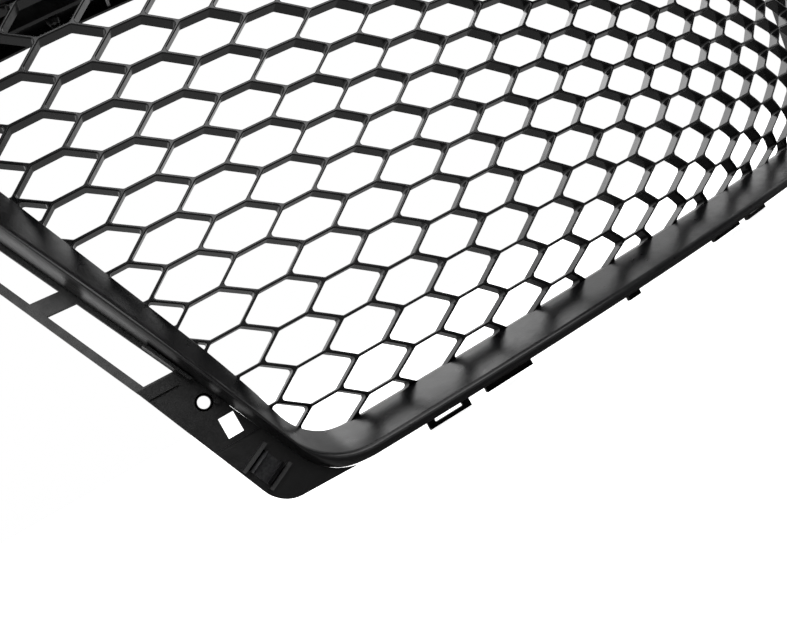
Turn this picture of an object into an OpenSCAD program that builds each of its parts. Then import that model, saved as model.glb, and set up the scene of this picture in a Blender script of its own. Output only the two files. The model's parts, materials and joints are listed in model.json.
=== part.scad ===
// Front grille of a car: a honeycomb insert in a surround bezel, held from behind by a lower tab
// rail, an upper mounting shelf and two side flanges.
// X runs across the car, -Y points forward, +Z up. The origin is the centre of the top centre hole.
// Left and right are as seen from in front.
// Inside the modules, z = 0 is a row line of the honeycomb and y = 0 is its front at the centre.

/* [Grille face] */
// Sideways radius of the face, which bulges forward
sweep_r = 1050; // [900:10:1400]
// Radius on which the lower face rolls back
roll_r = 120; // [110:1:160]
// Height where the roll begins
roll_z = -80; // [-90:1:-70]

/* [Honeycomb] */
// Length of a cell's level side
cell_flat = 18; // [14:0.5:24]
// Width of a cell's slanted side
cell_slant = 16; // [12:0.5:20]
// Half the height of a cell
cell_half = 11.5; // [8:0.5:16]
// Thickness of a rib, seen from the front
rib_t = 1.7; // [1.4:0.1:3]
// Depth of a rib, front to back
rib_depth = 8.5; // [6:0.5:12]
// Rim around the honeycomb, behind the bezel
rim_w = 5; // [4:0.5:6]

/* [Openings] */
// Lower edge of the bezel's opening
open_low = -170.5; // [-175:0.5:-165]
// Upper edge of the bezel's opening
open_high = 115; // [100:1:130]
// Half width of the opening at its lower edge, as if its corners were sharp
open_half = 256; // [240:1:280]
// Outward lean of the opening's sides, in mm per mm of height
open_lean = 0.392; // [0.3:0.002:0.45]
// Radius of the lower corners
low_corner_r = 42; // [30:1:60]
// Radius of the upper corners
high_corner_r = 46; // [30:1:60]

/* [Bezel] */
// Height of the front crest's lower run
crest_low = -186.3; // [-190:0.1:-182]
// Height of the front crest's upper run
crest_high = 128; // [120:1:140]
// Half width of the crest at its lower run
crest_half = 257; // [250:1:270]
// Outward lean of the crest's and the wall's sides
crest_lean = 0.445; // [0.4:0.005:0.46]
// How far the crest stands in front of the honeycomb, at its foremost height
crest_ahead = 24; // [18:1:30]
// Radius on which the crest's side view curves
crest_r = 640; // [500:10:900]
// Height where the crest is foremost
crest_mid = 27; // [0:1:50]
// How far the outer wall stands outside the crest, below and above
wall_out = 8.4; // [6:0.1:12]
// How far the outer wall stands outside the crest, at the sides
wall_side = 5.2; // [3:0.1:8]
// Thickness of the bezel's walls
bezel_t = 2.6; // [2:0.1:3.5]
// Distance from the honeycomb's front to the bezel's rear edge
rear_gap = 18; // [16:0.5:22]

/* [Fixings] */
// Diameter of the top centre hole
centre_hole_d = 6.6; // [6:0.1:8]
// Diameter of the hole in each side flange's foot
foot_hole_d = 7.3; // [6:0.1:9]
// Diameter of the hole near each side flange's top
head_hole_d = 6.6; // [6:0.1:9]
// Diameter of the locating pin beside the foot hole
locator_d = 3; // [2:0.1:4]
// Diameter of a push retainer's shank
retainer_d = 8; // [7:0.1:9]
// How far a retainer's centre pin lifts to release it
pin_travel = 6; // [4:0.5:7]

/* [Hidden] */

gap = 0.3;                                   // clearance between neighbouring mouldings
round_fn = 96;                               // facets of a small circle
sweep_fn = 256;                              // facets of a circle around the sweep axis

pitch_x = cell_flat + cell_slant;            // from one column of cells to the next
pitch_z = 2 * cell_half;                     // from one cell to the one above

wall_low = crest_low - wall_out;
wall_high = crest_high + wall_side;
wall_half = crest_half - 1.5;
wall_draft = 0.25;                           // share of its step that the lower wall gains on its way back
shelf_t = 3;                                 // thickness of the shelf and the rails
shelf_z = wall_high - shelf_t;               // underside of the shelf
shelf_depth = 42;                            // front to back
hole_y = rear_gap + gap + 24;                // top centre hole, behind the honeycomb's front

rail_low = wall_low;
rail_high = -176.5;                          // kept out of sight below the opening
rail_y = rear_gap + gap + roll_y(open_low);  // front of the lower rail at the centre

low_tab_z = -202.5;                          // lower edge of the rail's plain tabs
flat_tab_x = 118;
loop_tab_x = 166;
loop_wide = 21;                              // width of a loop tab's slot
loop_low = -200.9;
loop_high = -192.5;
rail_half = 228;                             // the rail reaches this far to each side
rail_screw_z = -185;

shelf_y = rear_gap + gap;                    // front of the shelf at the centre
shelf_half = 318;
shelf_screw_z = 125;

plate_y = 60;                                // front of a side flange's foot
plate_t = 2.5;                               // thickness of a side flange
plate_top = -97;                             // where the foot ends and the leaning strip begins
plate_lean = atan(0.115);                    // lean of the strip, following the bezel's rear edge
strip_len = 205;                             // length of the leaning strip
strip_windows = [[2, 60], [70, 128], [138, 184]];   // heights of its windows, from its foot
head_hole = [399, 199];                      // hole near its head, across and up the strip

foot_half = 287.2;                           // the foot's outline, as an opening's is given
foot_low = -190.5;
foot_lean = 0.398;
foot_corner_r = 20;
ear_edge_z = -126.5;                          // the foot reaches behind the bezel above this height
foot_hole = [297, -118];                     // across and up
foot_pin = [291, -121];
foot_window = [285.5, -142.5, 9.5, 12.5];     // corner, width and height
pad_z = -145.5;                              // the foot is thicker below this height
pad_proud = 2.5;
tower_turn = 24;                             // the clip tower stands square to the flange's edge
tower_tall = 7;
tower_walls = [[280, -154, 19.5], [273.5, -170.5, 17.8]]; // inner end and length of each wall
clip_at = [277.5, -162.4];                     // the spring clip's inner end
clip_in = 2;
clip_long = 14;

screw_r = 1.5;                               // shank of a self-tapping screw
screw_hole_r = 1.9;                          // clearance hole for it
screw_len = 12;
boss_r = 3.3;                                // screw boss on the back of the bezel
pilot_r = 1.55;                              // hole in a boss
ear_t = 3;                                   // thickness of an ear on the insert's rim
ear_low_z = open_low - 9.2;                  // screws that hold the insert, below and above
ear_high_z = open_high + 9.2;
ear_low_y = roll_y(open_low - rim_w) + rib_depth - ear_t;
ear_high_y = rib_depth - ear_t;
pin_long = pin_travel + 6.8;                 // a lifted pin keeps at least 6.8 mm in its bore
pin_bore_r = 2.6;                            // bore of a push retainer
seat_r = retainer_d / 2 + 0.6;               // the retainer's shank inside the shelf's hole

// Where things sit across the grille, each also on the other side
rail_screw_x = [30, 84, 140, 212];
shelf_screw_x = [45, 135, 205, 290];
insert_low_x = [57, 190];
insert_high_x = [90, 250];
retainer_x = [110, 262];
pad_x = [36, 160];
flange_screw_z = [-108, -30, 60];            // screws that hold a side flange
strip_screw_z = [flange_screw_z[1], flange_screw_z[2]];
seat_t = 3.4;                                // thickness of the strip's screw seats

// ---------------------------------------------------------------- face and outlines

// How far the honeycomb's front has rolled back at height z
function roll_y(z) = z > roll_z ? 0 : roll_r - sqrt(pow(roll_r, 2) - pow(roll_z - z, 2));

// The honeycomb's front, and any face at a depth behind it
function face_y(x, z, depth = 0) =
    sweep_r - sqrt(pow(sweep_r - roll_y(z) - depth, 2) - x * x);

// The bezel's front crest
function crest_y(x, z) =
    sweep_r - sqrt(pow(sweep_r, 2) - x * x) - crest_ahead + pow(z - crest_mid, 2) / (2 * crest_r);

// Angle around the sweep axis that brings the centre line to x, for a thing at a depth
function sweep_angle(x, depth = 0) = asin(x / (sweep_r - depth));

function arc(centre, r, from, to, n) =
    [for (i = [0 : n]) let (a = from + (to - from) * i / n) centre + r * [cos(a), sin(a)]];

function between(p, q, n) = [for (i = [1 : n - 1]) p + (q - p) * i / n];

function flip(points) = [for (i = [len(points) - 1 : -1 : 0]) [-points[i][0], points[i][1]]];

// Half an outline with rounded corners, from the middle of the lower run, up the right side, to
// the middle of the upper run. n gives the steps in the lower run, a corner, a side and the upper run.
function half_outline(half, low, high, lean, r1, r2, n) =
    let (a = atan(lean),
         t1 = r1 * tan((90 - a) / 2),
         t2 = r2 * tan((90 + a) / 2),
         top_half = half + lean * (high - low),
         lower = arc([half - t1, low + r1], r1, -90, -a, n[1]),
         upper = arc([top_half - t2, high - r2], r2, -a, 90, n[1]))
    concat([[0, low]], between([0, low], lower[0], n[0]), lower,
           between(lower[n[1]], upper[0], n[2]), upper,
           between(upper[n[1]], [0, high], n[3]), [[0, high]]);

function whole_outline(half_points) =
    concat(half_points, [for (p = flip(half_points)) if (p[0] < -0.001) p]);

// The same outline as an exact shape: a polygon through its tangent points and a disc at each corner
module outline_shape(half, low, high, lean, r1, r2) {
    a = atan(lean);
    t1 = r1 * tan((90 - a) / 2);
    t2 = r2 * tan((90 + a) / 2);
    top_half = half + lean * (high - low);
    side = [sin(a), cos(a)];
    right = [[half - t1, low], [half, low] + t1 * side, [top_half, high] - t2 * side,
             [top_half - t2, high]];
    polygon(concat(right, flip(right)));
    for (s = [-1, 1]) {
        translate([s * (half - t1), low + r1]) circle(r = r1, $fn = round_fn);
        translate([s * (top_half - t2), high - r2]) circle(r = r2, $fn = round_fn);
    }
}

// The bezel's opening grown outward by grow
module opening_shape(grow = 0) {
    a = atan(open_lean);
    outline_shape(open_half + grow * (1 / cos(a) - tan(a)), open_low - grow, open_high + grow,
                  open_lean, low_corner_r + grow, high_corner_r + grow);
}

// The bezel's outer wall grown outward by grow
module wall_shape(grow = 0) {
    a = atan(crest_lean);
    outline_shape(wall_half + grow * (1 / cos(a) - tan(a)), wall_low - grow, wall_high + grow,
                  crest_lean, low_corner_r + grow, high_corner_r + grow);
}

// ---------------------------------------------------------------- helpers

// Moves the honeycomb's own zero to the top centre hole
module place() translate([0, -hole_y, -shelf_z]) children();

// Extrudes a front view along Y, from y0 to y1
module along_y(y0, y1) translate([0, y1, 0]) rotate([90, 0, 0]) linear_extrude(y1 - y0) children();

// Turns a side view (distance from the sweep axis, height) around the sweep axis, over the x given
module around_sweep(x) {
    a = sweep_angle(x);
    translate([0, sweep_r, 0]) rotate([0, 0, -90 - a])
        rotate_extrude(angle = 2 * a, $fn = sweep_fn) children();
}

// A swept bar between two depths and two heights
module swept_bar(x, depth0, depth1, z0, z1) {
    around_sweep(x) translate([sweep_r - depth1, z0]) square([depth1 - depth0, z1 - z0]);
}

// Puts a thing made at the centre line where the sweep carries x
module at_sweep(x, depth = 0) {
    translate([0, sweep_r, 0]) rotate([0, 0, sweep_angle(x, depth)]) translate([0, -sweep_r, 0])
        children();
}

module both_sides() {
    children();
    mirror([1, 0, 0]) children();
}

module disc_y(r, y0, y1) translate([0, y0, 0]) rotate([-90, 0, 0])
    cylinder(r = r, h = y1 - y0, $fn = round_fn);

// A pan-head screw driven forward, with its head's underside at y = 0
module screw_y() {
    difference() {
        union() {
            rotate([90, 0, 0]) rotate_extrude($fn = round_fn)
                polygon([[0, -2.2], [2.2, -2.2], [3.1, -1.8], [3.5, -1.0], [3.5, 0], [screw_r, 0],
                         [screw_r, screw_len - 2], [0.3, screw_len], [0, screw_len]]);
        }
        for (a = [0, 90]) rotate([0, a, 0]) translate([-2, 1.1, -0.4]) cube([4, 2, 0.8]);
    }
}

// ---------------------------------------------------------------- honeycomb insert

// One cell's hole: a level-sided hexagon, smaller than its cell by half a rib all round
module cell_hole() {
    a = atan2(cell_half, cell_slant);
    e = rib_t / 2;
    tip = cell_flat / 2 + cell_slant - e / sin(a);
    level = cell_flat / 2 - e * tan(a / 2);
    top = cell_half - e;
    polygon([[tip, 0], [level, top], [-level, top], [-tip, 0], [-level, -top], [level, -top]]);
}

module honeycomb_pattern() {
    columns = ceil((open_half + open_lean * (open_high - open_low)) / pitch_x);
    rows = ceil(max(open_high, -open_low) / pitch_z) + 1;
    for (c = [-columns : columns], q = [-rows : rows])
        translate([c * pitch_x, q * pitch_z + (c % 2 == 0 ? cell_half : 0)]) cell_hole();
}

// Side view of the insert: a straight upper part and the roll, rib_depth thick
module insert_side_view() {
    tall = open_high + rim_w + 1 - roll_z;
    deep = roll_z - (open_low - rim_w - 1);
    difference() {
        union() {
            translate([sweep_r - rib_depth, roll_z]) square([rib_depth, tall]);
            intersection() {
                translate([sweep_r - roll_r, roll_z]) circle(r = roll_r, $fn = sweep_fn);
                translate([sweep_r - roll_r, roll_z - deep]) square([roll_r, deep]);
            }
        }
        translate([sweep_r - roll_r - rib_depth, roll_z]) circle(r = roll_r, $fn = sweep_fn);
    }
}

// An ear on the insert's rim, made on the centre line. out is 1 above the opening and -1 below.
module insert_ear(y, z, out) {
    difference() {
        union() {
            translate([0, 0, z]) disc_y(4.2, y, y + ear_t);
            translate([-4.2, y, out > 0 ? z - 6.7 : z]) cube([8.4, ear_t, 6.7]);
        }
        translate([0, 0, z]) disc_y(screw_hole_r, y - 1, y + ear_t + 1);
    }
}

module honeycomb_insert() {
    color("#101112") place() {
        intersection() {
            around_sweep(420) insert_side_view();
            along_y(-20, 240) difference() {
                opening_shape(rim_w);
                intersection() {
                    honeycomb_pattern();
                    opening_shape();
                }
            }
        }
        both_sides() {
            for (x = insert_low_x) at_sweep(x) insert_ear(ear_low_y, ear_low_z, -1);
            for (x = insert_high_x) at_sweep(x) insert_ear(ear_high_y, ear_high_z, 1);
        }
    }
}

// ---------------------------------------------------------------- surround bezel

// One section of the bezel, from the lip round the crest and the wall and back along the inside.
// o, c and w are the points of the opening, the crest and the wall at one place on the outline.
function bezel_section(o, c, w) =
    let (lip = face_y(o[0], o[1]),
         crest = crest_y(c[0], c[1]),
         rear = lip + rear_gap,
         out = (w - o) / norm(w - o),
         t = w[1] > -150 ? 0 : min(1, max(0, (254 - abs(w[0])) / 22)),
         step = (1 - wall_draft * t * t * (3 - 2 * t)) * (w - c),
         inner = w - bezel_t * out,
         at = function (p, y) [p[0], y, p[1]])
    [at(o, lip - gap - 1.4), at(c - 2.2 * out, crest + 1.2), at(c - 0.9 * out, crest + 0.25),
     at(c + 0.15 * step, crest), at(c + 0.4 * step, crest + 1),
     at(c + 0.68 * step, crest + 4.5), at(c + 0.92 * step, crest + 9), at(c + step, crest + 14),
     at(w, rear), at(inner, rear), at(c + step - bezel_t * out, crest + 14.5),
     at(c - 0.8 * out, crest + 4),
     at(o, lip - gap)];

module surround_ring() {
    n = [14, 9, 12, 18];
    opening = whole_outline(half_outline(open_half, open_low, open_high, open_lean,
                                         low_corner_r, high_corner_r, n));
    crest = whole_outline(half_outline(crest_half, crest_low, crest_high, crest_lean,
                                       low_corner_r, high_corner_r, n));
    wall = whole_outline(half_outline(wall_half, wall_low, wall_high, crest_lean,
                                      low_corner_r, high_corner_r, n));
    count = len(opening);
    sections = [for (i = [0 : count - 1]) bezel_section(opening[i], crest[i], wall[i])];
    m = len(sections[0]);
    points = [for (s = sections) for (p = s) p];
    faces = [for (i = [0 : count - 1], j = [0 : m - 1])
        let (i2 = (i + 1) % count, j2 = (j + 1) % m)
        for (f = [[i * m + j, i2 * m + j, i2 * m + j2], [i * m + j, i2 * m + j2, i * m + j2]]) f];
    polyhedron(points, faces);
}

// A flat plane halfway through the bezel's front wall near a boss at p, as its height there and its
// slopes across and up. open and crest are the wall's two edges, straight out from each other.
function front_plane(open, crest, p) =
    let (lip = face_y(open[0], open[1]),
         top = crest_y(crest[0], crest[1]) + 3,
         span = norm(crest - open),
         out = (crest - open) / span,
         slope = (top - lip) / span)
    [lip + slope * ((p - open) * out) - 0.4, slope * out[0],
     abs(out[0]) > 0.5 ? -slope * open_lean : slope * out[1], top + 1.2];

// What lies in front of such a plane, around a boss
module in_front(plane) {
    s = 6;
    back = [for (c = [[-s, -s], [s, -s], [s, s], [-s, s]])
        [c[0], plane[0] + plane[1] * c[0] + plane[2] * c[1], c[1]]];
    front = [for (p = back) [p[0], -90, p[2]]];
    polyhedron(concat(back, front),
               [[0, 1, 2, 3], [7, 6, 5, 4], [0, 4, 5, 1], [1, 5, 6, 2], [2, 6, 7, 3], [3, 7, 4, 0]]);
}

// A boss on the bezel's back, standing on the inside of its front wall, hollow where the screw goes.
// It is made on the centre line at height z, and ends at y1.
module screw_boss(z, plane, y1) {
    translate([0, 0, z]) difference() {
        disc_y(boss_r, min(plane[0], plane[3]), y1);
        disc_y(pilot_r, y1 - screw_len, y1 + 1);
        in_front(plane);
        translate([-9, -95, -9]) cube([18, 95 + plane[3], 18]);
    }
}

function low_plane(z) = front_plane([0, open_low], [0, crest_low], [0, z]);
function high_plane(z) = front_plane([0, open_high], [0, crest_high], [0, z]);

function open_x(z) = open_half + open_lean * (z - open_low);
function crest_x(z) = crest_half + crest_lean * (z - crest_low);
function wall_x(z) = wall_half + crest_lean * (z - wall_low);
function side_screw_x(z) = (open_x(z) + wall_x(z)) / 2 + 2.6;

function side_plane(z) = front_plane([open_x(z), z], [crest_x(z), z], [side_screw_x(z), z]);

module surround_bezel() {
    color("#2a2b2d") place() {
        surround_ring();
        both_sides() {
            for (x = rail_screw_x)
                at_sweep(x, rail_y) screw_boss(rail_screw_z, low_plane(rail_screw_z), rail_y - 0.1);
            for (x = shelf_screw_x)
                at_sweep(x, shelf_y)
                    screw_boss(shelf_screw_z, high_plane(shelf_screw_z), shelf_y - 0.1);
            for (x = insert_low_x)
                at_sweep(x) screw_boss(ear_low_z, low_plane(ear_low_z), ear_low_y - 0.1);
            for (x = insert_high_x)
                at_sweep(x) screw_boss(ear_high_z, high_plane(ear_high_z), ear_high_y - 0.1);
            for (z = flange_screw_z)
                translate([side_screw_x(z), 0, 0])
                    screw_boss(z, side_plane(z), plate_front(z) - 0.6);
        }
    }
}

// ---------------------------------------------------------------- lower tab rail

module rail_block(x, wide, z0, z1, y0 = 0, y1 = shelf_t) {
    at_sweep(x, rail_y) translate([-wide / 2, rail_y + y0, z0]) cube([wide, y1 - y0, z1 - z0]);
}

module lower_tab_rail() {
    color("#17181a") place() difference() {
        union() {
            swept_bar(rail_half, rail_y, rail_y + shelf_t, rail_low, rail_high);
            swept_bar(rail_half - 6, rail_y + shelf_t, rail_y + 9, rail_high - 2.2, rail_high);
            rail_block(0, 12, low_tab_z, rail_low + 4);
            both_sides() {
                rail_block(flat_tab_x, 38, low_tab_z, rail_low + 4);
                rail_block(loop_tab_x, 32, low_tab_z - 1.2, rail_low + 4);
                for (x = [20, 75, 128, 200]) rail_block(x, 2, rail_low + 6, rail_high - 1, 1, 9);
            }
        }
        both_sides() {
            rail_block(loop_tab_x, loop_wide, loop_low, loop_high, -2, shelf_t + 2);
            for (x = rail_screw_x)
                at_sweep(x, rail_y) translate([0, 0, rail_screw_z])
                    disc_y(screw_hole_r, rail_y - 2, rail_y + shelf_t + 2);
        }
    }
}

// ---------------------------------------------------------------- upper mounting shelf

module upper_mounting_shelf() {
    color("#17181a") place() difference() {
        union() {
            swept_bar(shelf_half, shelf_y, shelf_y + shelf_t, shelf_z - 18, wall_high);
            swept_bar(shelf_half, shelf_y, shelf_y + shelf_depth, shelf_z, wall_high);
            swept_bar(shelf_half, shelf_y + shelf_depth - 2.5, shelf_y + shelf_depth,
                      shelf_z - 6, wall_high);
            both_sides() for (x = [20, 88, 175, 235, 311])
                at_sweep(x, shelf_y) shelf_gusset();
            translate([0, hole_y, shelf_z - 2]) cylinder(r = 9, h = shelf_t, $fn = round_fn);
        }
        translate([0, hole_y, shelf_z - 9])
            cylinder(d = centre_hole_d, h = 20, $fn = round_fn);
        both_sides() {
            for (x = retainer_x) at_retainer(x) translate([0, 0, -20])
                cylinder(r = seat_r + 0.15, h = 40, $fn = round_fn);
            for (x = shelf_screw_x)
                at_sweep(x, shelf_y) translate([0, 0, shelf_screw_z])
                    disc_y(screw_hole_r, shelf_y - 2, shelf_y + shelf_t + 2);
            for (x = [66, 218])
                at_sweep(x, hole_y) translate([-14, hole_y - 4, shelf_z - 4]) cube([28, 9, 10]);
        }
    }
}

module shelf_gusset() {
    translate([1, shelf_y, shelf_z]) rotate([0, -90, 0]) linear_extrude(2)
        polygon([[0.5, 1], [-17, 1], [-17, shelf_t + 1], [-5, shelf_depth - 2], [0.5, shelf_depth - 2]]);
}

// Puts a thing at the place of a push retainer on the shelf's top
module at_retainer(x) at_sweep(x, hole_y) translate([0, hole_y, wall_high]) children();

// ---------------------------------------------------------------- side flanges

// Front of the flange at height z: level in the foot, leaning back above it
function plate_front(z) = plate_y + max(0, z - plate_top) * tan(plate_lean);

function flange_x(z) = foot_half + foot_lean * (z - foot_low);

// The leaning strip's own frame, with its height counted from the foot's top
module on_strip() translate([0, plate_y, plate_top]) rotate([-plate_lean, 0, 0]) children();

module foot_view(low, high) {
    difference() {
        intersection() {
            union() {
                outline_shape(foot_half, foot_low, open_high, foot_lean, foot_corner_r, foot_corner_r);
                polygon([[220, -160], [220, foot_low - 4.2], [273.6, foot_low], [273.6, -160]]);
            }
            translate([225, low]) square([200, high - low]);
        }
        opening_shape(2);
    }
}

module flange_foot() {
    difference() {
        union() {
            along_y(plate_y, plate_y + plate_t) foot_view(-200, plate_top + 1);
            intersection() {
                along_y(plate_y - pad_proud, plate_y + 1) foot_view(-200, pad_z);
                translate([200, plate_y - pad_proud, pad_z]) rotate([90, 0, 90]) linear_extrude(200)
                    polygon([[-1, -60], [-1, -2.8], [1, 0], [1, 1], [5, 1], [5, -60]]);
            }
            translate([foot_pin[0], 0, foot_pin[1]]) disc_y(locator_d / 2, plate_y - 5, plate_y + 1);
            translate([304, plate_y - 3, -103]) cube([17, 4, 1.6]);
            for (t = tower_walls) translate([t[0], plate_y - pad_proud - tower_tall, t[1]])
                rotate([0, tower_turn, 0]) rotate([90, 0, 90]) linear_extrude(t[2])
                    polygon([[0, -1], [1.4, 1], [tower_tall + 1, 1], [tower_tall + 1, -1]]);
        }
        along_y(plate_y - 20, plate_y + 20) intersection() {
            wall_shape(0.15);
            translate([200, -300]) square([200, 300 + ear_edge_z]);
        }
        translate([foot_hole[0], 0, foot_hole[1]])
            disc_y(foot_hole_d / 2, plate_y - 4, plate_y + plate_t + 2);
        translate([foot_window[0], plate_y - 6, foot_window[1]])
            cube([foot_window[2], 12, foot_window[3]]);
        translate([side_screw_x(flange_screw_z[0]), 0, flange_screw_z[0]])
            disc_y(screw_hole_r, plate_y - 4, plate_y + plate_t + 2);
    }
}

// Front view of the leaning strip: three windows with crossbars, and a rounded head
module strip_view() {
    z1 = strip_len;
    low = plate_top;
    difference() {
        union() {
            polygon([[wall_x(low) - 12, 0], [flange_x(low), 0], [wall_x(low + z1) + 20, z1],
                     [wall_x(low + z1) - 12, z1]]);
            translate(head_hole) circle(r = 10.5, $fn = round_fn);
        }
        for (w = strip_windows)
            polygon([[wall_x(low + w[0]) + 3, w[0]], [flange_x(low) - 5 + 0.42 * w[0], w[0]],
                     [flange_x(low) - 5 + 0.42 * w[1], w[1]], [wall_x(low + w[1]) + 3, w[1]]]);
    }
}

// A rail on the flange's front, along the bezel's wall
module guide_rail() {
    ends = [-104, -76];
    along_y(plate_y - 9, plate_y + 2.4)
        polygon([[wall_x(ends[0]) + 0.8, ends[0]], [wall_x(ends[0]) + 2.8, ends[0]],
                 [wall_x(ends[1]) + 2.8, ends[1]], [wall_x(ends[1]) + 0.8, ends[1]]]);
}

module side_flange() {
    flange_foot();
    guide_rail();
    difference() {
        union() {
            on_strip() {
                along_y(0, plate_t) strip_view();
                along_y(plate_t - 1, 7) translate([wall_x(plate_top) - 11, 1])
                    multmatrix([[1, crest_lean, 0, 0], [0, 1, 0, 0], [0, 0, 1, 0], [0, 0, 0, 1]])
                        square([2, strip_len - 6]);
            }
            for (z = strip_screw_z) at_strip_screw(z) disc_y(5, -0.1, seat_t);
        }
        for (z = strip_screw_z) at_strip_screw(z) {
            disc_y(screw_hole_r, -3, 9);
            disc_y(4.6, seat_t, 12);
        }
        on_strip() translate([head_hole[0], 0, head_hole[1]]) disc_y(head_hole_d / 2, -2, 9);
    }
}

// Puts a thing where a screw goes through the leaning strip
module at_strip_screw(z) translate([side_screw_x(z), plate_front(z), z]) children();

module right_side_flange() color("#1b1c1e") place() side_flange();

module left_side_flange() color("#1b1c1e") place() mirror([1, 0, 0]) side_flange();

// ---------------------------------------------------------------- screws

module side_screws() {
    translate([side_screw_x(flange_screw_z[0]), plate_y + plate_t, flange_screw_z[0]]) screw_y();
    for (z = strip_screw_z) at_strip_screw(z) translate([0, seat_t, 0]) screw_y();
}

module right_flange_screws() color("#8d9096") place() side_screws();

module left_flange_screws() color("#8d9096") place() mirror([1, 0, 0]) side_screws();

module lower_rail_screws() color("#8d9096") place() both_sides()
    for (x = rail_screw_x) at_sweep(x, rail_y)
        translate([0, rail_y + shelf_t + 0.05, rail_screw_z]) screw_y();

module upper_shelf_screws() color("#8d9096") place() both_sides()
    for (x = shelf_screw_x) at_sweep(x, shelf_y)
        translate([0, shelf_y + shelf_t + 0.05, shelf_screw_z]) screw_y();

module insert_screws() color("#8d9096") place() both_sides() {
    for (x = insert_low_x) at_sweep(x) translate([0, ear_low_y + ear_t, ear_low_z]) screw_y();
    for (x = insert_high_x) at_sweep(x) translate([0, ear_high_y + ear_t, ear_high_z]) screw_y();
}

// ---------------------------------------------------------------- spring clips

// A folded steel clip between the walls of a flange's tower
module spring_clip() {
    t = 0.8;
    w = 6.5;
    translate([clip_at[0], plate_y - pad_proud - 0.05, clip_at[1]]) rotate([0, tower_turn, 0])
        translate([clip_in, 0, 0]) rotate([90, 0, 90]) linear_extrude(clip_long)
            polygon([[0, -w], [0, w], [-6, w], [-8, w - 1.8], [-7.2, w - 2.2], [-5.6, w - t],
                     [-t, w - t], [-t, t - w], [-5.6, t - w], [-7.2, 2.2 - w], [-8, 1.8 - w], [-6, -w]]);
}

module right_spring_clip() color("#3d3f42") place() spring_clip();

module left_spring_clip() color("#3d3f42") place() mirror([1, 0, 0]) spring_clip();

// ---------------------------------------------------------------- seal and pads

module bonnet_seal_strip() color("#222222") place()
    around_sweep(300) translate([sweep_r - shelf_y - 9, wall_high]) difference() {
        polygon(concat([[-3.5, 1.6], [-3.5, 0], [3.5, 0], [3.5, 1.6]], arc([0, 4.2], 3.4, -40, 220, 20)));
        polygon(arc([0, 4.2], 1.9, 0, 340, 17));
    }

module anti_rattle_pads() color("#303030") place() both_sides()
    for (x = pad_x) at_sweep(x, shelf_y + 34)
        translate([-13, shelf_y + 29, wall_high]) cube([26, 11, 2.5]);

// ---------------------------------------------------------------- push retainers

// The shell of a retainer, seated on the shelf, with two slots that let its end spread
module retainer_body(x) {
    color("#0c0c0d") place() at_retainer(x) difference() {
        rotate_extrude($fn = round_fn)
            polygon([[0, -14], [2.9, -14], [retainer_d / 2, -11.5], [retainer_d / 2, -shelf_t - 0.2],
                     [seat_r, -shelf_t], [seat_r, 0], [9, 0],
                     [9, 0.8], [8.2, 1.8], [0, 1.8]]);
        translate([0, 0, -20]) cylinder(r = pin_bore_r, h = 40, $fn = round_fn);
        translate([0, 0, 0.9]) cylinder(r = 5.2, h = 5, $fn = round_fn);
        for (a = [0, 90]) rotate([0, 0, a]) translate([-0.5, -6, -20]) cube([1, 12, 11]);
    }
}

// The centre pin, which lifts by pin_travel to let the shank close
module retainer_pin(x) {
    color("#161617") place() at_retainer(x) difference() {
        rotate_extrude($fn = round_fn)
            polygon([[0, -pin_long], [1.4, -pin_long], [pin_bore_r - 0.05, 1.8 - pin_long],
                     [pin_bore_r - 0.05, 1],
                     [4.6, 1], [4.6, 2.1], [4, 2.7], [0, 2.7]]);
        for (s = [-1, 1]) translate([s * 4.6 - 1, -1.6, 0]) cube([2, 3.2, 1.5]);
    }
}

module retainer_body_outer_left() retainer_body(-retainer_x[1]);
module retainer_body_inner_left() retainer_body(-retainer_x[0]);
module retainer_body_inner_right() retainer_body(retainer_x[0]);
module retainer_body_outer_right() retainer_body(retainer_x[1]);
module retainer_pin_outer_left() retainer_pin(-retainer_x[1]);
module retainer_pin_inner_left() retainer_pin(-retainer_x[0]);
module retainer_pin_inner_right() retainer_pin(retainer_x[0]);
module retainer_pin_outer_right() retainer_pin(retainer_x[1]);

honeycomb_insert();
surround_bezel();
lower_tab_rail();
upper_mounting_shelf();
left_side_flange();
right_side_flange();
insert_screws();
lower_rail_screws();
upper_shelf_screws();
left_flange_screws();
right_flange_screws();
left_spring_clip();
right_spring_clip();
bonnet_seal_strip();
anti_rattle_pads();
retainer_body_outer_left();
retainer_body_inner_left();
retainer_body_inner_right();
retainer_body_outer_right();
retainer_pin_outer_left();
retainer_pin_inner_left();
retainer_pin_inner_right();
retainer_pin_outer_right();
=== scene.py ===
"""Looks for the front grille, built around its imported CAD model."""
import json
import math

import bpy
import numpy as np
from mathutils import Euler, Matrix, Vector
from mathutils.geometry import delaunay_2d_cdt


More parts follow.
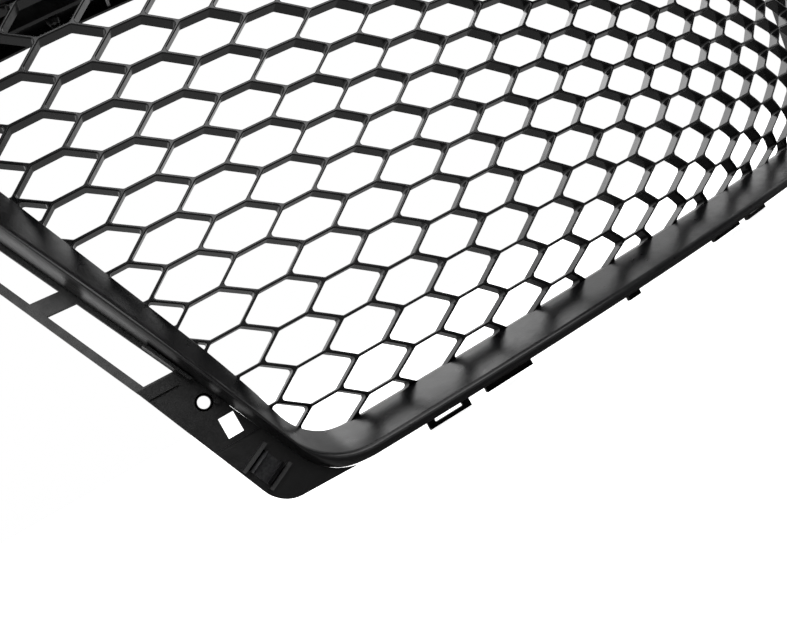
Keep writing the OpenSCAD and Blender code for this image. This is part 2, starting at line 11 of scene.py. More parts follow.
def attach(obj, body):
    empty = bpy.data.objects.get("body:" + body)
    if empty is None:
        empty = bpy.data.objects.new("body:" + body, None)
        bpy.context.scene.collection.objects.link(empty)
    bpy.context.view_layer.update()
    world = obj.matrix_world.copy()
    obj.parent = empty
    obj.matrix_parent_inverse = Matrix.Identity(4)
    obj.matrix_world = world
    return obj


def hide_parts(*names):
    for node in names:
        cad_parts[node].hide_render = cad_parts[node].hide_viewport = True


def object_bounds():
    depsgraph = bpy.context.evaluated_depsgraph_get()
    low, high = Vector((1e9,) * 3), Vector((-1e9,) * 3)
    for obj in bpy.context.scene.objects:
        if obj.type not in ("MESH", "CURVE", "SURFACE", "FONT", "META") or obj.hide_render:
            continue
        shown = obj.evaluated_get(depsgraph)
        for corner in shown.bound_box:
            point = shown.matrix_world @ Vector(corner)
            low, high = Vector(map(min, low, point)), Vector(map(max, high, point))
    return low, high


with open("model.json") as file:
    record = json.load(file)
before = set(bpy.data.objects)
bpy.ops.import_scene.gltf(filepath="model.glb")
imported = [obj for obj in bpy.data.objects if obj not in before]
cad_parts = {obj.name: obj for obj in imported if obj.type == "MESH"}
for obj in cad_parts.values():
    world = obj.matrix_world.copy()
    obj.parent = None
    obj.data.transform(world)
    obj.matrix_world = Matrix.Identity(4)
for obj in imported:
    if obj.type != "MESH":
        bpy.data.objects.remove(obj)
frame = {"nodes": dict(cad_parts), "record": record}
CAD_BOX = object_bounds()
scene = bpy.context.scene

# ------------------------------------------------------------------ sizes, in mm
# x = 0 is the centre line, y = 0 the honeycomb's front there, z = 0 a row line of the honeycomb.
SWEEP, ROLL, ROLL_Z = 1050.0, 120.0, -80.0          # radius across, radius and start of the roll
FLAT, SLANT, HALF = 18.0, 16.0, 11.5                # a cell's level side, slanted side and half height
PITCH_X, PITCH_Z = FLAT + SLANT, 2 * HALF
RIB_T, RIB_D, RIM = 1.7, 8.5, 5.0                   # rib thickness and depth, and the insert's rim
OPEN = dict(half=256.0, low=-170.5, high=115.0, lean=0.392)
CREST = dict(half=257.0, low=-186.3, high=128.0, lean=0.445)
WALL = dict(half=255.5, low=-194.7, high=133.2, lean=0.445)
R_LOW, R_HIGH = 42.0, 46.0                          # corner radii of the opening
CREST_AHEAD, CREST_MID, CREST_R = 24.0, 27.0, 640.0
GAP, REAR, BEZEL_T = 0.3, 18.0, 2.6
DRAFT, DRAFT_TOP = 0.25, -150.0                     # the lower wall's draft, and its upper end
DRAFT_END, DRAFT_FADE = 254.0, 22.0                 # the draft fades out towards the corners
SHELF_Y, PLATE_Y = REAR + GAP, 60.0
HOLE_Y, SHELF_Z = 42.3, 130.2                       # the top centre hole at the shelf's underside

EAR_OUT, EAR_T, EAR_R, SCREW_HOLE_R = 9.2, 3.0, 4.2, 1.9
EAR_LOW_X, EAR_HIGH_X = (57, 190), (90, 250)
RAIL_SCREW_X, RAIL_SCREW_Z = (30, 84, 140, 212), -185.0
SHELF_SCREW_X, SHELF_SCREW_Z = (45, 135, 205, 290), 125.0
SIDE_SCREW_Z = (-108, -30, 60)
PLATE_TOP, PLATE_LEAN = -97.0, 0.115                # the flange's strip leans back above this height
BOSS_R, PILOT_R, PILOT_DEEP = 3.3, 1.55, 12.0
SEAL_HALF, SEAL_BACK, BULB_Z, BULB_R, BULB_HOLLOW = 299.5, 9.0, 4.2, 3.38, 1.9
PAD_X, PAD_BACK, PAD_LONG, PAD_WIDE = (-160, -36, 36, 160), 34.5, 13.0, 5.5
FOOT_HOLE, RING_R, RING_WIRE = (297, -118), 4.55, 0.5


def row(points):
    """Points in mm to metres in the row frame."""
    p = np.asarray(points, float).reshape(-1, 3)
    return (p - np.array([0.0, HOLE_Y, SHELF_Z])) / 1000.0


def roll_y(z):
    """How far the roll carries the honeycomb's front back at height z."""
    z = np.asarray(z, float)
    drop = np.clip(ROLL_Z - z, 0, ROLL - 1e-6)
    return ROLL - np.sqrt(ROLL ** 2 - drop ** 2)


def face_y(x, z, depth=0.0):
    """The y of the honeycomb's front, or of a layer at that depth in it."""
    return SWEEP - np.sqrt((SWEEP - roll_y(z) - depth) ** 2 - np.asarray(x, float) ** 2)


def face_normal(x, z):
    """The outward direction of the honeycomb's front, from its slopes."""
    e = 0.05
    fx = (face_y(x + e, z) - face_y(x - e, z)) / (2 * e)
    fz = (face_y(x, z + e) - face_y(x, z - e)) / (2 * e)
    n = np.stack([fx, -np.ones_like(fx), fz], -1)
    return n / np.linalg.norm(n, axis=-1, keepdims=True)


def crest_y(x, z):
    """The y of the bezel's foremost line."""
    return SWEEP - math.sqrt(SWEEP ** 2 - x * x) - CREST_AHEAD + (z - CREST_MID) ** 2 / (2 * CREST_R)


RAIL_Y = REAR + GAP + float(roll_y(OPEN["low"]))
EAR_LOW_Z, EAR_LOW_Y = OPEN["low"] - EAR_OUT, float(roll_y(OPEN["low"] - RIM)) + RIB_D - EAR_T
EAR_HIGH_Z, EAR_HIGH_Y = OPEN["high"] + EAR_OUT, RIB_D - EAR_T


# ------------------------------------------------------------------ outlines
def arc(cx, cz, r, a0, a1, n):
    t = [math.radians(a0 + (a1 - a0) * i / n) for i in range(n + 1)]
    return [np.array([cx + r * math.cos(a), cz + r * math.sin(a)]) for a in t]


def between(p, q, n):
    return [p + (q - p) * i / n for i in range(1, n)]


def circle(n):
    """n even angles round a circle."""
    return np.linspace(0, 2 * math.pi, n + 1)[:-1]


def edge_x(d, z):
    """Half width at height z of an outline with sharp corners."""
    return d["half"] + d["lean"] * (z - d["low"])


def smooth(t):
    return t * t * (3 - 2 * t)


def whole_outline(half, low, high, lean, n, grow=0.0):
    """A rounded outline, from the middle of its lower run round to the same place, grown outward."""
    a = math.atan(lean)
    half = half + grow * (1 / math.cos(a) - math.tan(a))
    low, high, r1, r2 = low - grow, high + grow, R_LOW + grow, R_HIGH + grow
    t1 = r1 * math.tan((math.pi / 2 - a) / 2)
    t2 = r2 * math.tan((math.pi / 2 + a) / 2)
    top = half + lean * (high - low)
    d = math.degrees(a)
    lower = arc(half - t1, low + r1, r1, -90, -d, n[1])
    upper = arc(top - t2, high - r2, r2, -d, 90, n[1])
    start, end = np.array([0, low]), np.array([0, high])
    right = ([start] + between(start, lower[0], n[0]) + lower
             + between(lower[-1], upper[0], n[2]) + upper + between(upper[-1], end, n[3]) + [end])
    left = [np.array([-p[0], p[1]]) for p in reversed(right[1:-1])]
    return np.array(right + left)


# ------------------------------------------------------------------ mesh helpers
def add_mesh(name, verts, faces, normals=None):
    mesh = bpy.data.meshes.new(name)
    mesh.from_pydata([tuple(v) for v in verts], [], [tuple(f) for f in faces])
    mesh.update()
    mesh.polygons.foreach_set("use_smooth", [True] * len(mesh.polygons))
    if normals is not None:
        mesh.normals_split_custom_set_from_vertices([tuple(n) for n in normals])
    mesh.validate(verbose=False)
    obj = bpy.data.objects.new(name, mesh)
    scene.collection.objects.link(obj)
    return obj


class Build:
    """Collects vertices, faces and normals in mm for one mesh."""

    def __init__(self):
        self.v, self.f, self.n = [], [], []
        self.count = 0

    def add(self, verts, normals):
        """Adds vertices and gives back the number of the first one."""
        first = self.count
        self.v.append(np.asarray(verts, float).reshape(-1, 3))
        self.n.append(np.asarray(normals, float).reshape(-1, 3))
        self.count += len(self.v[-1])
        return first

    def rings(self, firsts, size):
        """Joins closed rings of equal size, one after the other."""
        for a, b in zip(firsts[:-1], firsts[1:]):
            for i in range(size):
                j = (i + 1) % size
                self.f.append((a + i, a + j, b + j, b + i))

    def cap(self, tris, ids, back=False):
        """Adds triangles given as places in ids, turned over for a back face."""
        for t in tris:
            self.f.append(tuple(int(ids[i]) for i in (t[::-1] if back else t)))

    def make(self, name):
        n = np.concatenate(self.n)
        n = n / np.maximum(np.linalg.norm(n, axis=1, keepdims=True), 1e-9)
        return add_mesh(name, row(np.concatenate(self.v)), self.f, n)


def area(poly):
    x, z = poly[:, 0], poly[:, 1]
    return 0.5 * float(np.sum(x * np.roll(z, -1) - np.roll(x, -1) * z))


def clip(poly, p, n):
    """The part of a convex polygon on the side of the line through p that n points away from."""
    out = []
    d = (poly - p) @ n
    for i in range(len(poly)):
        j = (i + 1) % len(poly)
        if d[i] <= 0:
            out.append(poly[i])
        if (d[i] < 0 < d[j]) or (d[j] < 0 < d[i]):
            t = d[i] / (d[i] - d[j])
            out.append(poly[i] + t * (poly[j] - poly[i]))
    return np.array(out).reshape(-1, 2)


def tidy_poly(poly, eps=1e-3):
    """The polygon without points that lie on the one before."""
    if len(poly) < 3:
        return poly
    keep = [i for i in range(len(poly)) if np.linalg.norm(poly[i] - poly[i - 1]) > eps]
    return poly[keep]


def edge_normals(poly):
    """The outward direction of each edge of a polygon that runs anticlockwise."""
    d = np.roll(poly, -1, axis=0) - poly
    n = np.stack([d[:, 1], -d[:, 0]], -1)
    return n / np.linalg.norm(n, axis=1, keepdims=True)


def inset(poly, r):
    """A convex polygon moved inward by r, or None where nothing is left."""
    out = poly
    for p, n in zip(poly, edge_normals(poly)):
        out = tidy_poly(clip(out, p - r * n, n))
        if len(out) < 3:
            return None
    return out


def rounded(poly, r, step=9.0, turn=16.0):
    """Base points and outward directions whose base + r * direction is poly with rounded corners."""
    core = inset(poly, r)
    if core is None or abs(area(core)) < 0.02:
        return None
    n = edge_normals(core)
    base, out = [], []
    for i in range(len(core)):
        a0 = math.atan2(n[i - 1][1], n[i - 1][0])
        da = (math.atan2(n[i][1], n[i][0]) - a0) % (2 * math.pi)
        if da > math.pi:
            return None
        k = max(1, round(math.degrees(da) / turn))
        for s in range(k + 1):
            a = a0 + da * s / k
            base.append(core[i])
            out.append([math.cos(a), math.sin(a)])
        q = core[(i + 1) % len(core)]
        m = int(np.linalg.norm(q - core[i]) // step)
        for s in range(1, m + 1):
            base.append(core[i] + (q - core[i]) * s / (m + 1))
            out.append(list(n[i]))
    return np.array(base), np.array(out)


def fill(loops):
    """Triangles between the first loop and the others, which are holes in it."""
    pts, edges, owner = [], [], []
    for k, loop in enumerate(loops):
        first = len(pts)
        pts += [Vector((float(p[0]), float(p[1]))) for p in loop]
        edges += [(first + i, first + (i + 1) % len(loop)) for i in range(len(loop))]
        owner += [k] * len(loop)
    verts, _, faces, orig, _, _ = delaunay_2d_cdt(pts, edges, [], 0, 1e-6)
    v = np.array([[p.x, p.y] for p in verts])
    old = [o[0] if o else -1 for o in orig]
    centre = np.array([v[list(f)].mean(0) for f in faces])

    def inside(loop, q):
        x, z = loop[:, 0], loop[:, 1]
        x2, z2 = np.roll(x, -1), np.roll(z, -1)
        hit = np.zeros(len(q), int)
        for a, b, c, d in zip(x, z, x2, z2):
            if b == d:
                continue
            cross = ((b > q[:, 1]) != (d > q[:, 1])) & (
                q[:, 0] < (c - a) * (q[:, 1] - b) / (d - b) + a)
            hit += cross
        return hit % 2 == 1

    keep = inside(np.asarray(loops[0]), centre)
    for i, f in enumerate(faces):
        k = {owner[old[j]] for j in f if old[j] >= 0}
        if keep[i] and len(k) == 1 and 0 not in k:
            if inside(np.asarray(loops[k.pop()]), centre[i:i + 1])[0]:
                keep[i] = False
    return [tuple(old[j] for j in f) for i, f in enumerate(faces)
            if keep[i] and min(old[j] for j in f) >= 0]


# ------------------------------------------------------------------ honeycomb insert
def sweep_place(x, depth=0.0):
    """Carries centre-line points round the sweep axis to where it passes x at that depth."""
    a = math.asin(x / (SWEEP - depth))
    c, s = math.cos(a), math.sin(a)

    def move(p, vector=False):
        p = np.asarray(p, float).reshape(-1, 3)
        y = p[:, 1] - (0 if vector else SWEEP)
        out = np.stack([p[:, 0] * c - y * s, p[:, 0] * s + y * c, p[:, 2]], -1)
        if not vector:
            out[:, 1] += SWEEP
        return out

    return move


def cells():
    """Each cell's hole as base points, outward directions and corner radius, cut by the opening."""
    opening = whole_outline(**OPEN, n=(24, 24, 24, 40))
    lines = list(zip(opening, edge_normals(opening)))
    tip, level = FLAT / 2 + SLANT, FLAT / 2
    hexagon = np.array([[tip, 0], [level, HALF], [-level, HALF],
                        [-tip, 0], [-level, -HALF], [level, -HALF]])
    cell = inset(hexagon, RIB_T / 2)
    columns = 1 + math.ceil(edge_x(OPEN, OPEN["high"]) / PITCH_X)
    rows = 1 + math.ceil(-OPEN["low"] / PITCH_Z)
    smallest = 6.0                                   # a scrap of a cell below this area is left solid
    holes = []
    for c in range(-columns, columns + 1):
        for q in range(-rows, rows + 1):
            poly = cell + np.array([PITCH_X * c, PITCH_Z * q + (HALF if c % 2 == 0 else 0.0)])
            for p, n in lines:
                if ((poly - p) @ n).max() > 0:
                    poly = tidy_poly(clip(poly, p, n))
                    if len(poly) < 3:
                        break
            if len(poly) < 3 or abs(area(poly)) < smallest:
                continue
            for r in (1.7, 1.0, 0.5, 0.25):
                made = rounded(poly, r)
                if made is not None:
                    holes.append((made[0], made[1], r))
                    break
    return holes


def honeycomb():
    """The insert: a curved sheet with a rim, a rounded hole for each cell, and screw ears."""
    b = Build()
    rim = whole_outline(**OPEN, n=(60, 10, 40, 80), grow=RIM)
    # the profile round each hole, from the front face over a fillet, down the wall, to the back
    fillet, back_edge = 0.74, 0.3
    profile = []
    for t in np.radians((0, 22, 45, 67, 90)):
        c, s = math.cos(t), math.sin(t)
        profile.append((fillet * (1 - s), fillet * (1 - c), c, s))
    profile += [(0.0, RIB_D - back_edge, 0.0, 1.0), (back_edge, RIB_D, -1.0, 0.0)]
    front_ids, back_ids, front_loops, back_loops = [], [], [], []
    rim_n = edge_normals(rim)

    def ring(points, side, level):
        g, d, wf, ws = level
        x, z = points[:, 0], points[:, 1]
        y = face_y(x, z, d)
        n = face_normal(x, z) * wf
        n[:, 0] += side[:, 0] * ws
        n[:, 2] += side[:, 1] * ws
        return b.add(np.stack([x, y, z], -1), n)

    edge = [ring(rim, rim_n, (0, d, wf, ws)) for d, wf, ws in
            ((0.0, 1.0, 0.0), (0.0, 0.0, 1.0), (RIB_D, 0.0, 1.0), (RIB_D, -1.0, 0.0))]
    b.rings(edge[1:3][::-1], len(rim))
    front_ids.append(edge[0] + np.arange(len(rim)))
    back_ids.append(edge[3] + np.arange(len(rim)))
    front_loops.append(rim)
    back_loops.append(rim)
    for base, out, r in cells():
        firsts = []
        for level in profile:
            firsts.append(ring(base + out * (r + level[0]), -out, level))
        b.rings(firsts, len(base))
        idx = np.arange(len(base))
        front_ids.append(firsts[0] + idx)
        back_ids.append(firsts[-1] + idx)
        front_loops.append(base + out * (r + profile[0][0]))
        back_loops.append(base + out * (r + profile[-1][0]))
    b.cap(fill(front_loops), np.concatenate(front_ids))
    b.cap(fill(back_loops), np.concatenate(back_ids), back=True)
    # ears for the screws, on the rim
    for xs, z, y, up in ((EAR_LOW_X, EAR_LOW_Z, EAR_LOW_Y, -1), (EAR_HIGH_X, EAR_HIGH_Z, EAR_HIGH_Y, 1)):
        for x in xs:
            for s in (-1, 1):
                ear(b, sweep_place(s * x), z, y, up)
    return b.make("honeycomb_mesh")


def ear(b, move, z, y, up):
    """A rounded ear with a screw hole, made on the centre line and carried to its place."""
    root = 6.7                                       # from the hole to inside the rim
    outer = [[EAR_R * math.cos(t), up * EAR_R * math.sin(t)] for t in np.linspace(0, math.pi, 13)]
    outer = np.array(outer + [[-EAR_R, -up * root], [EAR_R, -up * root]])
    if area(outer) < 0:
        outer = outer[::-1]
    t = circle(24)
    hole = SCREW_HOLE_R * np.stack([np.cos(t), np.sin(t)], -1)
    slab(b, outer, hole, y, y + EAR_T, move, z)


def slab(b, outer, hole, y0, y1, move, z, c=0.25):
    """A flat plate with a round hole and small chamfers, across Y from y0 to y1."""
    def place(points, y, n):
        p = np.stack([points[:, 0], np.full(len(points), y), points[:, 1] + z], -1)
        return b.add(move(p), move(n, vector=True))

    on = edge_normals(outer)
    outward = on + np.roll(on, 1, axis=0)
    outward /= np.linalg.norm(outward, axis=1, keepdims=True)
    inward = hole.mean(0) - hole
    inward /= np.linalg.norm(inward, axis=1, keepdims=True)
    flats, fronts, backs = [], [], []
    for loop, side, turn in ((outer, outward, -1), (hole, inward, 1)):
        small = loop - side * c
        n3 = np.stack([side[:, 0], np.zeros(len(loop)), side[:, 1]], -1)
        flat = np.tile([0.0, -1.0, 0.0], (len(loop), 1))
        rings = [place(small, y0, flat), place(loop, y0 + c, n3), place(loop, y1 - c, n3),
                 place(small, y1, -flat)]
        b.rings(rings[::turn], len(loop))
        flats.append(small)
        fronts.append(rings[0] + np.arange(len(loop)))
        backs.append(rings[3] + np.arange(len(loop)))
    tris = fill(flats)
    b.cap(tris, np.concatenate(fronts))
    b.cap(tris, np.concatenate(backs), back=True)


# ------------------------------------------------------------------ surround bezel
def soften(points, radii, k=4):
    """Rounds the corners of a closed 3D line, with k steps at each."""
    n = len(points)
    out = []
    for i in range(n):
        p, a, c = points[i], points[i - 1], points[(i + 1) % n]
        la, lc = np.linalg.norm(a - p), np.linalg.norm(c - p)
        t = min(radii[i], 0.45 * la, 0.45 * lc)
        pa, pc = p + (a - p) * t / la, p + (c - p) * t / lc
        for s in range(k + 1):
            u = s / k
            out.append(pa * (1 - u) ** 2 + 2 * u * (1 - u) * p + pc * u * u)
    return np.array(out)


def bezel():
    """The surround, as one closed section carried round the opening."""
    # the opening, the crest and the wall at its rear, point by point
    o, c, w = (whole_outline(**d, n=(40, 26, 44, 70)) for d in (OPEN, CREST, WALL))
    loops = []
    for i in range(len(o)):
        lip = float(face_y(o[i][0], o[i][1]))
        top = crest_y(c[i][0], c[i][1])
        out = (w[i] - o[i]) / np.linalg.norm(w[i] - o[i])
        inner = w[i] - BEZEL_T * out
        fade = min(1, max(0, (DRAFT_END - abs(w[i][0])) / DRAFT_FADE)) if w[i][1] < DRAFT_TOP else 0
        step = (1 - DRAFT * smooth(fade)) * (w[i] - c[i])
        # each corner's place in the outline's plane, its y and its radius
        section = [(o[i], lip - GAP - 1.4, 0.7), (c[i] - 2.2 * out, top + 1.2, 3.0),
                   (c[i] - 0.9 * out, top + 0.25, 0.7), (c[i] + 0.15 * step, top, 0.4),
                   (c[i] + 0.4 * step, top + 1, 1.2), (c[i] + 0.68 * step, top + 4.5, 2.2),
                   (c[i] + 0.92 * step, top + 9, 2.4), (c[i] + step, top + 14, 3.0),
                   (w[i], lip + REAR, 0.25), (inner, lip + REAR, 0.4),
                   (c[i] + step - BEZEL_T * out, top + 14.5, 2.0), (c[i] - 0.8 * out, top + 4, 2.0),
                   (o[i], lip - GAP, 0.4)]
        loops.append(soften([np.array([p[0], y, p[1]]) for p, y, _ in section],
                            [r for _, _, r in section]))
    m = len(loops[0])
    verts = [p for loop in loops for p in loop]
    faces = []
    for i in range(len(loops)):
        i2 = (i + 1) % len(loops)
        for j in range(m):
            j2 = (j + 1) % m
            faces.append((i * m + j, i2 * m + j, i2 * m + j2, i * m + j2))
    obj = add_mesh("bezel_shell", row(verts), faces)
    weighted(obj)
    return obj


def weighted(obj):
    """Keeps large faces looking flat beside small rounded ones."""
    mod = obj.modifiers.new("even_normals", "WEIGHTED_NORMAL")
    mod.keep_sharp = True
    mod.weight = 80


def side_x(z):
    """A side screw's place across, in the middle of the bezel's back."""
    return (edge_x(OPEN, z) + edge_x(WALL, z)) / 2 + BEZEL_T


def front_plane(o, c, p):
    """The bezel's front wall at p: its middle's y, its slopes across and up, and its front limit."""
    o, c, p = (np.array(q, float) for q in (o, c, p))
    lip, top = float(face_y(o[0], o[1])), crest_y(c[0], c[1]) + 3
    span = np.linalg.norm(c - o)
    out = (c - o) / span
    slope = (top - lip) / span
    up = -slope * OPEN["lean"] if abs(out[0]) > 0.5 else slope * out[1]
    return lip + slope * float((p - o) @ out) - 0.4, slope * out[0], up, top + 1.2


def bosses():
    """The screw bosses on the bezel's back, each cut to the slope of the front wall."""
    b = Build()
    k = 28
    t = circle(k)
    seat = 0.1                                       # a boss ends this far in front of what it holds

    def boss(move, x, z, plane, y1):
        prof = [(BOSS_R, None, 1, 0), (BOSS_R, y1 - 0.3, 1, 0), (BOSS_R - 0.3, y1, 0, 1),
                (PILOT_R + 0.3, y1, 0, 1), (PILOT_R, y1 - 0.5, -1, 0),
                (PILOT_R, y1 - PILOT_DEEP, -1, 0), (0.01, y1 - PILOT_DEEP, 0, 1)]
        firsts = []
        for r, y, nr, ny in prof:
            px, pz = r * np.cos(t), r * np.sin(t)
            if y is None:
                py = np.maximum(plane[0] + plane[1] * px + plane[2] * pz, plane[3])
            else:
                py = np.full(k, y)
            p = np.stack([x + px, py, z + pz], -1)
            n = np.stack([nr * np.cos(t), np.full(k, float(ny)), nr * np.sin(t)], -1)
            firsts.append(b.add(move(p), move(n, vector=True)))
        b.rings(firsts[::-1], k)

    def still(p, vector=False):
        return np.asarray(p, float)

    # the bezel's run, places across, height, the y of what is held, and the depth of its sweep
    rows = (("low", RAIL_SCREW_X, RAIL_SCREW_Z, RAIL_Y, RAIL_Y),
            ("high", SHELF_SCREW_X, SHELF_SCREW_Z, SHELF_Y, SHELF_Y),
            ("low", EAR_LOW_X, EAR_LOW_Z, EAR_LOW_Y, 0.0),
            ("high", EAR_HIGH_X, EAR_HIGH_Z, EAR_HIGH_Y, 0.0))
    for s in (-1, 1):
        for run, xs, z, y1, depth in rows:
            plane = front_plane((0, OPEN[run]), (0, CREST[run]), (0, z))
            for x in xs:
                boss(sweep_place(s * x, depth), 0, z, plane, y1 - seat)
        for z in SIDE_SCREW_Z:
            y, sx, sz, front = front_plane((edge_x(OPEN, z), z), (edge_x(CREST, z), z), (side_x(z), z))
            boss(still, s * side_x(z), z, (y, s * sx, sz, front),
                 PLATE_Y + max(0, z - PLATE_TOP) * PLATE_LEAN - 0.6)
    return b.make("bezel_bosses")


# ------------------------------------------------------------------ seal, pads and rings
def seal():
    """The hollow D-shaped bonnet seal, bent along the shelf."""
    b = Build()

    def turn(cx, cz, r, a0, a1, n):
        a = np.radians(np.linspace(a0, a1, n + 1))
        return np.stack([cx + r * np.cos(a), cz + r * np.sin(a)], -1)

    def section(loop, normals, x):
        """Adds a loop, given back and up from the shelf's top, where the seal passes x."""
        k = np.zeros(len(loop))
        move = sweep_place(x)
        p = np.stack([k, SHELF_Y + SEAL_BACK + loop[:, 0], WALL["high"] + loop[:, 1]], -1)
        return b.add(move(p), move(normals, vector=True))

    foot = [(-3.0, 1.1, 0.48, 90, 180), (-3.1, 0.4, 0.38, 180, 270),
            (3.1, 0.4, 0.38, 270, 360), (3.0, 1.1, 0.48, 0, 90)]
    outer = np.concatenate([turn(0, BULB_Z, BULB_R, -40, 220, 36)] + [turn(*f, 3) for f in foot])
    inner = turn(0, BULB_Z, BULB_HOLLOW, 0, 350, 35)
    along = np.roll(outer, -1, axis=0) - np.roll(outer, 1, axis=0)
    outward = np.stack([np.zeros(len(outer)), along[:, 1], -along[:, 0]], -1)
    inward = np.stack([np.zeros(len(inner)), -inner[:, 0], BULB_Z - inner[:, 1]], -1)
    xs = np.linspace(-SEAL_HALF, SEAL_HALF, 121)
    for loop, n, turned in ((outer, outward, 1), (inner, inward, -1)):
        b.rings([section(loop, n, x) for x in xs][::turned], len(loop))
    tris = fill([outer, inner])
    for x in (xs[0], xs[-1]):
        ids = [section(loop, np.tile([math.copysign(1.0, x), 0, 0], (len(loop), 1)), x)
               + np.arange(len(loop)) for loop in (outer, inner)]
        b.cap(tris, np.concatenate(ids), back=x < 0)
    return b.make("seal_bulb")


def pads():
    """Felt pads on the shelf: rounded corners, soft edges and a slightly crowned top."""
    b = Build()
    n_round = 48
    t = circle(n_round)
    shape = np.stack([np.sign(np.cos(t)) * np.abs(np.cos(t)) ** 0.32,
                      np.sign(np.sin(t)) * np.abs(np.sin(t)) ** 0.4], -1)
    # share of the full outline, height above the shelf, and share of the normal that points sideways
    levels = [(0.97, 0.02, 1), (0.99, 0.5, 1), (0.995, 1.4, 1), (0.97, 2.0, 2 / 3), (0.9, 2.28, 1 / 3),
              (0.7, 2.4, 0), (0.4, 2.45, 0), (0.02, 2.47, 0)]
    y, top = SHELF_Y + PAD_BACK, WALL["high"]
    for x in PAD_X:
        move = sweep_place(x, y - 0.5)
        firsts = []
        for scale, z, side in levels:
            p = np.stack([PAD_LONG * scale * shape[:, 0], y + PAD_WIDE * scale * shape[:, 1],
                          np.full(n_round, top + z)], -1)
            n = np.stack([side * np.cos(t), side * np.sin(t), np.full(n_round, 1.02 - side)], -1)
            firsts.append(b.add(move(p), move(n, vector=True)))
        b.rings(firsts, n_round)
        centre = b.add(move([[0, y, top + levels[0][1]]]), [[0, 0, -1]])
        for i in range(n_round):
            b.f.append((firsts[0] + (i + 1) % n_round, firsts[0] + i, centre))
    return b.make("felt_pads")


def hole_rings():
    """The low raised ring round each foot hole."""
    b = Build()
    n_round, steps, sunk = 64, 8, 0.05
    t = circle(n_round)
    x, z = FOOT_HOLE
    for s in (-1, 1):
        firsts = []
        for k in range(steps + 1):
            ca, sa = math.cos(math.pi * k / steps), math.sin(math.pi * k / steps)
            r = RING_R - RING_WIRE * ca
            y = np.full(n_round, PLATE_Y + sunk - RING_WIRE * sa)
            p = np.stack([s * x + r * np.cos(t), y, z + r * np.sin(t)], -1)
            n = np.stack([-ca * np.cos(t), np.full(n_round, -sa), -ca * np.sin(t)], -1)
            firsts.append(b.add(p, n))
        b.rings(firsts + firsts[:1], n_round)
    return b.make("foot_hole_rings")


# ------------------------------------------------------------------ materials
class Nodes:
    """A short way to write a material's nodes."""

    def __init__(self, name):
        self.mat = bpy.data.materials.new(name)
        self.mat.use_nodes = True
        self.tree = self.mat.node_tree
        self.shader = self.tree.nodes["Principled BSDF"]
        coords = self.tree.nodes.new("ShaderNodeTexCoord")
        self.coords = coords.outputs["Object"]

    def link(self, a, b):
        self.tree.links.new(a, b)

    def noise(self, scale, detail=3.0, rough=0.55, stretch=None):
        """Noise over the piece's own coordinates, in cycles per metre."""
        vec = self.coords
        if stretch:
            m = self.tree.nodes.new("ShaderNodeMapping")
            m.inputs["Scale"].default_value = stretch
            self.link(self.coords, m.inputs["Vector"])
            vec = m.outputs["Vector"]
        t = self.tree.nodes.new("ShaderNodeTexNoise")
        t.inputs["Scale"].default_value = scale
        t.inputs["Detail"].default_value = detail
        t.inputs["Roughness"].default_value = rough
        self.link(vec, t.inputs["Vector"])
        return t.outputs["Fac"]

    def voronoi(self, scale):
        t = self.tree.nodes.new("ShaderNodeTexVoronoi")
        t.inputs["Scale"].default_value = scale
        self.link(self.coords, t.inputs["Vector"])
        return t.outputs["Distance"]

    def ramp(self, fac, stops):
        """Colours fac by stops of place and colour."""
        r = self.tree.nodes.new("ShaderNodeValToRGB")
        self.link(fac, r.inputs["Fac"])
        e = r.color_ramp.elements
        while len(e) < len(stops):
            e.new(0.5)
        for el, (pos, col) in zip(e, stops):
            el.position = pos
            el.color = (*col, 1.0)
        return r.outputs["Color"]

    def span(self, fac, lo, hi, a=0.0, b=1.0):
        """Maps fac from a..b to lo..hi."""
        m = self.tree.nodes.new("ShaderNodeMapRange")
        m.inputs["From Min"].default_value = a
        m.inputs["From Max"].default_value = b
        m.inputs["To Min"].default_value = lo
        m.inputs["To Max"].default_value = hi
        self.link(fac, m.inputs["Value"])
        return m.outputs["Result"]

    def bump(self, height, strength, distance, normal=None):
        """A bump of that height map, laid over another normal."""
        n = self.tree.nodes.new("ShaderNodeBump")
        n.inputs["Strength"].default_value = strength
        n.inputs["Distance"].default_value = distance
        self.link(height, n.inputs["Height"])
        if normal is not None:
            self.link(normal, n.inputs["Normal"])
        return n.outputs["Normal"]

    def done(self, color, rough, normal=None, **fixed):
        self.link(color, self.shader.inputs["Base Color"])
        self.link(rough, self.shader.inputs["Roughness"])
        if normal is not None:
            self.link(normal, self.shader.inputs["Normal"])
        for k, v in fixed.items():
            self.shader.inputs[k.replace("_", " ")].default_value = v
        return self.mat


def gloss_black():
    m = Nodes("gloss_black_moulding")
    tint = m.ramp(m.noise(90, 4), [(0.3, (0.0015, 0.0015, 0.0018)), (0.75, (0.004, 0.004, 0.0045))])
    rough = m.span(m.noise(260, 4, 0.6), 0.15, 0.25, 0.3, 0.7)
    n = m.bump(m.noise(240, 2), 0.10, 0.0005)
    n = m.bump(m.noise(2600, 2), 0.05, 0.00004, n)
    return m.done(tint, rough, n, IOR=1.52)


def satin_charcoal():
    m = Nodes("satin_charcoal_moulding")
    tint = m.ramp(m.noise(55, 5), [(0.3, (0.0025, 0.0025, 0.003)), (0.72, (0.006, 0.006, 0.0065))])
    rough = m.span(m.noise(140, 5, 0.6), 0.27, 0.36, 0.3, 0.7)
    grain = m.voronoi(2600)
    n = m.bump(m.noise(160, 2), 0.14, 0.0006)
    n = m.bump(grain, 0.16, 0.00009, n)
    return m.done(tint, rough, n, IOR=1.5)


